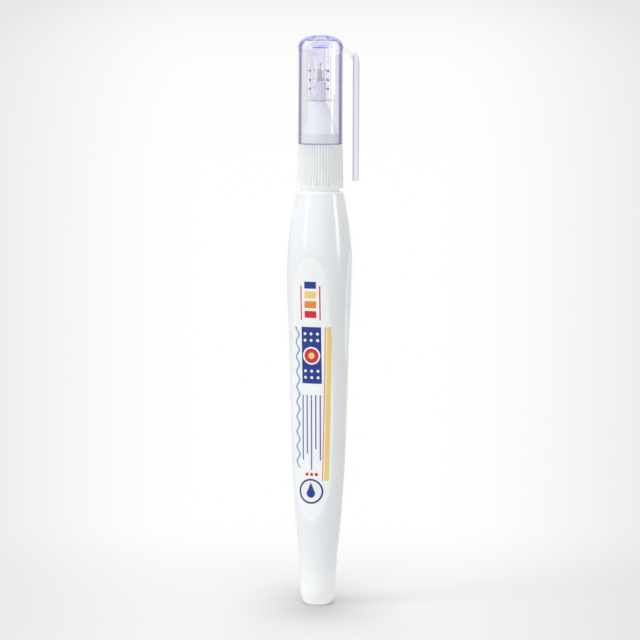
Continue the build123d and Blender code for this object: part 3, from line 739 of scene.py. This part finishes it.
class Finish:
    """A material, world or lamp in the making. Every node comes from its node method."""

    def __init__(self, owner):
        owner.use_nodes = True
        self.owner = owner
        self.tree = owner.node_tree
        self.tree.nodes.clear()

    def node(self, kind, settings, sockets, output=0):
        """A node of a kind: settings first, then the values or links of its sockets; gives one output."""
        made = self.tree.nodes.new(kind)
        for name, value in settings.items():
            setattr(made, name, value)
        for name, value in sockets.items():
            if isinstance(value, Amount):
                self.tree.links.new(value.socket, made.inputs[name])
            else:
                made.inputs[name].default_value = value
        return None if output is None else Amount(self, made.outputs[output])

    def place(self):
        """Place on the object, in millimetres, as three amounts."""
        coordinate = self.node("ShaderNodeTexCoord", {}, {}, "Object")
        scaled = self.node("ShaderNodeVectorMath", {"operation": "SCALE"}, {0: coordinate, "Scale": 1 / MM})
        parts = self.node("ShaderNodeSeparateXYZ", {}, {0: scaled})
        outputs = parts.socket.node.outputs
        return [Amount(self, outputs[index]) for index in range(3)]

    def point(self, x, y, z):
        """Three amounts as one vector."""
        return self.node("ShaderNodeCombineXYZ", {}, {0: x, 1: y, 2: z})

    def noise(self, point, grain, detail=2.0):
        """Soft noise from 0 to 1 whose lumps are about one grain across."""
        return self.node("ShaderNodeTexNoise", {}, {"Vector": point, "Scale": 1 / grain, "Detail": detail})

    def blend(self, amount, first, second):
        """The first colour where the amount is 0, the second where it is 1."""
        return self.node("ShaderNodeMix", {"data_type": "RGBA"}, {0: amount, 6: first, 7: second}, 2)

    def bump(self, height, depth):
        """Normal from a height of 0 to 1 over a depth in millimetres."""
        return self.node("ShaderNodeBump", {}, {"Distance": depth * MM, "Height": height})

    def rays(self, first, *others):
        """1 for rays of any of the named kinds, 0 for the rest."""
        found = self.node("ShaderNodeLightPath", {}, {}, first)
        outputs = found.socket.node.outputs
        for name in others:
            found = found.most(Amount(self, outputs[name]))
        return found

    def seen(self):
        """1 for what the camera sees, straight or through gloss and clear plastic; 0 for light."""
        return self.rays("Is Camera Ray", "Is Glossy Ray", "Is Transmission Ray")

    def mixed(self, amount, first, second):
        """The first shader where the amount is 0, the second where it is 1."""
        return self.node("ShaderNodeMixShader", {}, {0: amount, 1: first, 2: second})

    def through(self, tint):
        """Shader that lets light straight through, tinted."""
        return self.node("ShaderNodeBsdfTransparent", {}, {"Color": tint})

    def plastic(self, sockets):
        """The common shader, with the given sockets set."""
        return self.node("ShaderNodeBsdfPrincipled", {}, sockets)

    def close(self, surface, **outputs):
        """Ends a material with a surface, and any volume that comes with it."""
        self.node("ShaderNodeOutputMaterial", {}, {"Surface": surface, **outputs}, None)
        return self.owner

    def surface(self, sockets):
        """Ends a material with the common shader."""
        return self.close(self.plastic(sockets))


def shade(red, green, blue):
    """Opaque colour, in linear light."""
    return (red, green, blue, 1.0)


WHITE = shade(1.0, 1.0, 1.0)
PALE = shade(0.87, 0.885, 0.90)
YELLOW = shade(0.84, 0.66, 0.20)
ORANGE = shade(0.80, 0.25, 0.05)
RED = shade(0.66, 0.012, 0.025)
BLUE = shade(0.008, 0.035, 0.26)
SKY = shade(0.16, 0.34, 0.62)
VIOLET = shade(0.10, 0.10, 0.36)


def bottle_finish():
    """Blow-moulded polyethylene: cool white, faintly clouded, with rubbed streaks and a soft orange peel.
    A painted lighter tone at the neck and the foot, and a painted glow in the neck, on the tail, under the
    foot and along the rims of the squeeze flats, stand in for light there."""
    finish = Finish(bpy.data.materials.new("white_bottle"))
    x, y, z = finish.place()
    cloud = finish.noise(finish.point(x, y, z * 0.4), 9.0)
    peel = finish.noise(finish.point(x, y, z), 1.6)
    rub = finish.noise(finish.point(x, y, z * 0.08), 0.5, 3.0)
    foot = 1 - z.ramp(0.0, FOOT_FADE)
    tone = finish.blend(cloud, shade(0.84, 0.865, 0.88), shade(0.89, 0.905, 0.915))
    neck = z.ramp(*NECK_EDGE)
    # painted light: the base colour is painted lighter at the foot and in the neck, where shade falls
    brighter_tone = finish.blend((foot * 0.5).most(neck), tone, shade(0.95, 0.955, 0.96))
    flat_half = (1 - ((z - FLAT_MIDDLE) / FLAT_HALF[1]) ** 2).most(0.01) ** 0.5 * FLAT_HALF[0]
    over_flat = abs(y) / flat_half
    flat_rim = over_flat.ramp(0.1, 0.5) * (1 - over_flat.ramp(0.85, 1.05)) * (abs(x) > FLAT_SIDE)
    under = 1 - z.ramp(0.0, UNDER_FADE)
    # painted glow: emission in the neck, on the tail, under the foot and along the flats' rims stands in
    # for light there
    glow = (neck * 0.85).most(foot * 0.4).most(flat_rim).most(under)
    painted_glow = finish.blend(glow, shade(0.0, 0.0, 0.0), shade(0.16, 0.16, 0.16))
    rough = 0.13 + cloud * 0.06 + (rub > 0.66) * 0.06 + foot * 0.10
    return finish.surface(
        {
            "Base Color": brighter_tone,
            "Roughness": rough,
            "IOR": 1.5,
            "Emission Color": painted_glow,
            "Emission Strength": 1.0,
            "Normal": finish.bump(peel * 0.7 + rub * 0.3, 0.012),
        }
    )


def moulding_finish():
    """Injection-moulded polypropylene: a drier white, with fine draw marks along the pull, and painted
    shade in the grooves between the ribs."""
    finish = Finish(bpy.data.materials.new("white_moulding"))
    x, y, z = finish.place()
    draw = finish.noise(finish.point(x, y, z * 0.1), 0.35)
    cloud = finish.noise(finish.point(x, y, z), 4.0)
    tone = finish.blend(cloud, shade(0.86, 0.875, 0.885), shade(0.90, 0.91, 0.915))
    turn = y.math("ARCTAN2", y, x)
    off_rib = turn.math("PINGPONG", turn * (RIB_COUNT / (2 * math.pi)), 0.5)
    on_collar = (x * x + y * y > COLLAR_INSIDE**2) * (z > COLLAR_FOOT + COLLAR_BAND)
    # painted shade: the grooves between the collar's ribs are painted darker
    groove_shade = finish.blend(off_rib.ramp(0.20, 0.40) * on_collar * 0.75, tone, shade(0.66, 0.68, 0.69))
    return finish.surface(
        {
            "Base Color": groove_shade,
            "Roughness": 0.28 + cloud * 0.1,
            "IOR": 1.5,
            "Normal": finish.bump(draw, 0.002),
        }
    )


def label_finish():
    """Printed film: a white ground with plain blocks, bands and bars, under a thin gloss."""
    finish = Finish(bpy.data.materials.new("printed_film"))
    x, y, z = finish.place()
    grain = finish.noise(finish.point(x, y, z), 0.25)
    cloud = finish.noise(finish.point(x, y, z), 6.0)

    def bar(middle_x, middle_z, width, height, lean=0.0):
        """1 inside a bar; lean shifts it aside with height."""
        across = x - middle_x
        if lean:
            across = across - (z - middle_z) * lean
        return (abs(across) < width / 2) * (abs(z - middle_z) < height / 2)

    def spot(middle_x, middle_z, radius):
        """1 inside a round spot."""
        across, up = x - middle_x, z - middle_z
        return (across * across + up * up) < radius * radius

    colour = finish.blend(cloud, shade(0.90, 0.915, 0.925), shade(0.93, 0.94, 0.945))
    band_lean, bands_head = 0.024, 69.5
    band_edge = 3.0 + (z - 30.0) * band_lean
    band = (x > band_edge) * (x < band_edge + 1.15) * (z > 31.5) * (z < bands_head)
    colour = finish.blend(band, colour, YELLOW)
    colour = finish.blend(bar(3.15, 50.5, 0.26, 38.0, band_lean), colour, ORANGE)
    ripple = x + 3.55 - z.math("SINE", z * 1.7) * 0.4
    colour = finish.blend((abs(ripple) < 0.22) * (z > 34.5) * (z < bands_head), colour, SKY)
    colour = finish.blend(bar(0.1, 62.5, 5.0, 14.0), colour, BLUE)
    for height in (57.0, 58.6, 66.2, 67.8):
        for place_x in (-1.5, 0.1, 1.7):
            colour = finish.blend(spot(place_x, height, 0.36), colour, PALE)
    for radius, ink in ((2.2, PALE), (1.8, RED), (0.8, YELLOW)):
        colour = finish.blend(spot(0.1, 62.4, radius), colour, ink)
    for place_x, middle, length in (
        (-2.2, 44.6, 16.0),
        (-1.1, 45.4, 14.6),
        (0.0, 43.4, 18.6),
        (1.1, 46.0, 13.4),
        (2.2, 44.6, 16.2),
    ):
        colour = finish.blend(bar(place_x, middle, 0.32, length), colour, VIOLET)
    for height, ink in ((72.6, RED), (75.0, ORANGE), (77.4, YELLOW), (79.8, BLUE)):
        colour = finish.blend(bar(0.0, height, 3.0, 1.7), colour, ink)
    for place_x in (-2.4, 2.4):
        colour = finish.blend(bar(place_x, 75.4, 0.32, 8.4), colour, RED)
    for place_x in (-1.2, 0.0, 1.2):
        colour = finish.blend(spot(place_x, 33.0, 0.42), colour, RED)
    for radius, ink in ((3.1, BLUE), (2.65, PALE)):
        colour = finish.blend(spot(-0.2, 28.8, radius), colour, ink)
    drop = spot(-0.2, 28.3, 1.1).most((abs(x + 0.2) < (31.0 - z) * 0.42) * (z > 28.6))
    colour = finish.blend(drop, colour, BLUE)
    return finish.surface(
        {
            "Base Color": colour,
            "Roughness": 0.18 + grain * 0.08,
            "IOR": 1.5,
            "Normal": finish.bump(grain, 0.004),
        }
    )


def clear_finish():
    """Clear tinted polystyrene. Deeper violet is painted where the wall, the clip arm and the rims are seen
    edge on, and on the thick crown's edges: partly the plastic's own tint, partly painted shade that stands
    in for the dark edges that refraction gives. Dark spots painted at the beads stand in for their glints.
    """
    finish = Finish(bpy.data.materials.new("clear_violet"))
    x, y, z = finish.place()
    haze = finish.noise(finish.point(x, y, z * 0.3), 2.5)
    facing = finish.node("ShaderNodeLayerWeight", {}, {"Blend": 0.5}, "Facing")
    reach = (x * x + y * y) ** 0.5
    # painted edge shade: deeper violet is painted where the surface is seen edge on
    rim = facing.ramp(0.38, 0.52) * (1 - facing.ramp(0.60, 0.82) * 0.85)
    depth = finish.rays("Ray Depth")
    straight = depth < STRAIGHT_RAY
    in_liner, in_cap = reach < LINER_OUTSIDE, reach < CAP_OUTSIDE
    wall = rim * (reach.ramp(*WALL_SPAN) * 0.7 + 0.3) * in_cap * straight
    across = x * math.cos(CLIP_TURN) + y * math.sin(CLIP_TURN)
    up_clip = (z - CLIP_FOOT) / (CLIP_POINT - CLIP_FOOT)
    foot_half, head_half = CLIP_FOOT_THICKNESS / 2, CLIP_HEAD_THICKNESS / 2
    arm_lean = CLIP_HEAD_REACH + head_half - CLIP_FOOT_REACH - foot_half
    arm_middle = CLIP_FOOT_REACH + foot_half + up_clip * arm_lean
    arm_edge = abs(across - arm_middle) / (foot_half + up_clip * (head_half - foot_half))
    # painted edge shade on the clip arm's sides over its own light tint, and painted dark lines at the
    # liner's and the mouth's rims
    arm = (arm_edge.ramp(0.45, 0.85) * 0.38 + 0.16) * (reach > ARM_INSIDE)
    liner_lip = in_liner * (z < LINER_RIM + LINER_LIP) * 0.3
    mouth_lip = (abs(z - CAP_RIM - MOUTH_LIP[0]) < MOUTH_LIP[1]) * in_cap * 0.5
    bead = abs(z - LINER_BEAD_HEIGHTS[0])
    for middle in LINER_BEAD_HEIGHTS[1:]:
        bead = bead.least(abs(z - middle))
    # painted glints: dark spots painted where the beads meet the sides of the bore
    glint_side = abs(across - GLINT_SIDES[0]).least(abs(across - GLINT_SIDES[1]))
    painted_glint = ((glint_side * glint_side + bead * bead) < GLINT_SQUARE) * in_liner
    tint = finish.blend(
        wall.most(arm).most(liner_lip).most(mouth_lip),
        shade(0.99, 0.99, 1.0),
        shade(0.085, 0.08, 0.31),
    )
    tint = finish.blend(painted_glint, tint, shade(0.015, 0.015, 0.06))
    # painted shade: the thick crown is painted deeper violet in blotches where it is seen edge on
    thick = z.ramp(*CROWN_THICK[:2]) * (1 - z.ramp(*CROWN_THICK[2:])) * (reach > LINER_OUTSIDE) * in_cap
    blotches = finish.noise(finish.point(x, y, z * 2.0), 0.7).ramp(0.40, 0.58) * 0.7 + 0.3
    crown = thick * blotches * facing.ramp(0.35, 0.55) * straight
    tint = finish.blend(crown, tint, shade(0.05, 0.04, 0.42))
    glass = finish.plastic(
        {
            "Base Color": tint,
            "Roughness": 0.02 + haze * 0.03,
            "IOR": 1.52,
            "Transmission Weight": 1.0,
            "Normal": finish.bump(haze, 0.01),
        }
    )
    # rays that bounce too often, and the web, pass straight through; in the crown they are painted deep
    # violet, standing in for light caught in the wall
    trapped = finish.mixed(
        z.ramp(*CROWN_TRAP) * (reach < CROWN_INSIDE),
        finish.through(shade(0.985, 0.985, 0.995)),
        finish.through(shade(0.28, 0.23, 0.85)),
    )
    web = (reach > WEB_SPAN[0]) * (reach < WEB_SPAN[1]) * 0.75
    stuck = (depth > MOST_RAYS).most(finish.rays("Glossy Depth") > MOST_MIRRORINGS)
    inside = finish.mixed(stuck.most(web), glass, trapped)
    light_way = finish.through(shade(0.94, 0.94, 0.965))
    both = finish.mixed(finish.rays("Is Shadow Ray", "Is Diffuse Ray"), inside, light_way)
    volume = finish.node(
        "ShaderNodeVolumeAbsorption", {}, {"Color": shade(0.45, 0.42, 0.95), "Density": 24.0}
    )
    return finish.close(both, Volume=volume)


def metal_finish(name, tone, bright, groove, roughness):
    """Bare metal with fine turning marks round the axis and cloudy handling marks."""
    finish = Finish(bpy.data.materials.new(name))
    x, y, z = finish.place()
    mark = finish.noise(finish.point(x * 0.1, y * 0.1, z), groove, 1.0)
    cloud = finish.noise(finish.point(x, y, z), 0.8)
    return finish.surface(
        {
            "Base Color": finish.blend(cloud, tone, bright),
            "Metallic": 1.0,
            "Roughness": roughness + mark * 0.1,
            "Normal": finish.bump(mark, 0.004),
        }
    )


def seal_finish():
    """Soft plastic ring: dull, faintly mottled."""
    finish = Finish(bpy.data.materials.new("seal_plastic"))
    x, y, z = finish.place()
    mottle = finish.noise(finish.point(x, y, z), 0.7)
    return finish.surface(
        {
            "Base Color": finish.blend(mottle, shade(0.74, 0.75, 0.76), shade(0.82, 0.83, 0.84)),
            "Roughness": 0.5 + mottle * 0.15,
            "Normal": finish.bump(mottle, 0.02),
        }
    )


# ---- Studio ----

def view_direction(turn, rise):
    """Unit vector from the pen towards a viewer; a turn of 0 stands in front, at -Y."""
    return Vector((math.sin(turn) * math.cos(rise), -math.cos(turn) * math.cos(rise), math.sin(rise)))


def aimed(place, target, roll=0.0):
    """Placement at a point, looking at the target along its own -Z."""
    turn = (target - place).to_track_quat("-Z", "Y").to_matrix().to_4x4()
    return Matrix.Translation(place) @ turn @ Matrix.Rotation(roll, 4, "Z")


def add_camera():
    """Camera at the photograph's bearing; its lens spans the frame's width at the pen."""
    lens = bpy.data.cameras.new("photo_camera")
    lens.sensor_width = SENSOR
    lens.lens = SENSOR * VIEW_DISTANCE / FRAME_WIDTH
    lens.clip_start = 0.01
    lens.clip_end = 100.0
    camera = bpy.data.objects.new("photo_camera", lens)
    bpy.context.scene.collection.objects.link(camera)
    place = AIM + VIEW_DISTANCE * view_direction(VIEW_TURN, VIEW_RISE)
    camera.matrix_world = aimed(place, AIM, VIEW_ROLL)
    bpy.context.scene.camera = camera


def add_lamp(name, turn, rise, distance, width, height, power, gloss):
    """Rectangular soft light that faces the pen from a bearing off the camera. With gloss it is a card
    that shows only in reflections and through clear plastic, without it a light that shows in neither."""
    light = bpy.data.lights.new(name, "AREA")
    light.shape = "RECTANGLE"
    light.size = width
    light.size_y = height
    light.energy = power
    lamp = bpy.data.objects.new(name, light)
    lamp.visible_diffuse = not gloss
    lamp.visible_glossy = gloss
    lamp.visible_transmission = gloss
    bpy.context.scene.collection.objects.link(lamp)
    place = AIM + distance * view_direction(VIEW_TURN + math.radians(turn), math.radians(rise))
    lamp.matrix_world = aimed(place, AIM)


def add_floor():
    """Wide pale floor that takes the pen's shadow, with a painted shadow round the foot; it is painted
    greyer towards the sides, and far from the pen it runs into the pale backdrop, painted as a pool of
    light that greys outwards.
    """
    mesh = bpy.data.meshes.new("floor")
    half = FLOOR_WIDTH / 2
    corners = [(-half, -half, 0), (half, -half, 0), (half, half, 0), (-half, half, 0)]
    mesh.from_pydata(corners, [], [(0, 1, 2, 3)])
    floor = bpy.data.objects.new("floor", mesh)
    bpy.context.scene.collection.objects.link(floor)
    finish = Finish(bpy.data.materials.new("floor"))
    x, y, z = finish.place()
    tooth = finish.noise(finish.point(x, y, z), 40.0)
    away = (x * x + y * y) ** 0.5
    aside = abs(x * math.cos(VIEW_TURN) + y * math.sin(VIEW_TURN))
    behind = y * math.cos(VIEW_TURN) - x * math.sin(VIEW_TURN)
    # painted falloff of light: the floor is painted greyer off to the sides
    side = (aside / (behind + VIEW_DISTANCE / MM).most(LEAST_DISTANCE)).ramp(*SIDE_FALL)
    seen = finish.seen()
    brighter_tone = finish.blend(tooth, shade(0.89, 0.89, 0.89), shade(0.91, 0.91, 0.91))
    greyed = finish.blend(side, shade(0.74, 0.74, 0.74), shade(0.65, 0.65, 0.65))
    # painted shadow: the floor is painted darker round the foot
    near = ((aside / FOOT_SHADE_REACH[0]) ** 2 + (behind / FOOT_SHADE_REACH[1]) ** 2) ** 0.5
    greyed = finish.blend((1 - near.ramp(0.0, 1.0)) * FOOT_SHADE, greyed, shade(0.0, 0.0, 0.0))
    paper = finish.node("ShaderNodeBsdfDiffuse", {}, {"Color": finish.blend(seen, brighter_tone, greyed)})
    # painted pool of light: the backdrop is painted white in the middle and greyer outwards
    pool = (side + away.ramp(*POOL_FALL)).least(1)
    pale = finish.blend(pool, WHITE, shade(0.80, 0.80, 0.80))
    backdrop = finish.node("ShaderNodeEmission", {}, {"Color": pale})
    far = behind.ramp(*BACKDROP_BEHIND).most(away.ramp(*BACKDROP_AWAY)) * seen
    finish.close(finish.mixed(far, paper, backdrop))
    mesh.materials.append(finish.owner)


def add_world():
    """Plain soft surround; the camera, gloss and clear plastic see it as a pale backdrop."""
    world = bpy.data.worlds.new("studio")
    bpy.context.scene.world = world
    finish = Finish(world)
    level = finish.blend(finish.seen(), shade(0.37, 0.374, 0.38), WHITE)
    background = finish.node("ShaderNodeBackground", {}, {"Color": level, "Strength": 1.0})
    finish.node("ShaderNodeOutputWorld", {}, {"Surface": background}, None)


# ---- The pen ----

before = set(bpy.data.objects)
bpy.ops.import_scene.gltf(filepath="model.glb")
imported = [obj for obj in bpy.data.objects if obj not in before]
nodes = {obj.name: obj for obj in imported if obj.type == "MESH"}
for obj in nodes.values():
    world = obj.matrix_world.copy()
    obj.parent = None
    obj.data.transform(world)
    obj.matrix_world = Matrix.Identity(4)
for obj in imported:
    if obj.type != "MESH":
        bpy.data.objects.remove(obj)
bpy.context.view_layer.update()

moulding = moulding_finish()
clear = clear_finish()
steel = metal_finish("steel", shade(0.36, 0.37, 0.38), shade(0.48, 0.49, 0.51), 0.05, 0.22)

make_piece("bottle_skin", [bottle_skin()], bottle_finish(), "pen", "bottle")
make_piece("nozzle_skin", [nozzle_skin()], moulding, "pen", "nozzle")
make_piece(
    "cap_skin", [cap_skin(), clip_arm_skin(), clip_web_skin()], clear, "cap", "cap_shell"
)
make_piece("liner_skin", [liner_skin()], clear, "cap", "cap_liner")
spring = make_piece("spring_coil", [spring_skin()], steel, "pen", "valve_spring")
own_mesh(spring)

CAD_FINISHES = {
    "front_label": label_finish(),
    "neck_seal": seal_finish(),
    "metal_tip": metal_finish("nickel_tip", shade(0.48, 0.48, 0.49), shade(0.58, 0.58, 0.59), 0.06, 0.16),
    "valve_needle": steel,
    "valve_piston": moulding,
    "spring_retainer": moulding,
    "mixing_ball": steel,
}
for node, finish in CAD_FINISHES.items():
    slots = nodes[node].data.materials
    slots.clear()
    slots.append(finish)

add_camera()
add_floor()
add_world()
add_lamp("key_left", -64, 24, 0.75, 0.36, 0.62, 1.6, gloss=False)
add_lamp("card_left", -59, 18, 0.85, 0.16, 0.36, 0.5, gloss=True)
add_lamp("card_right", 72, 16.4, 0.85, 0.20, 0.455, 1.77, gloss=True)
add_lamp("top_soft", 0, 86, 0.6, 0.25, 0.8, 4.0, gloss=False)

bpy.context.scene.view_settings.view_transform = "Standard"
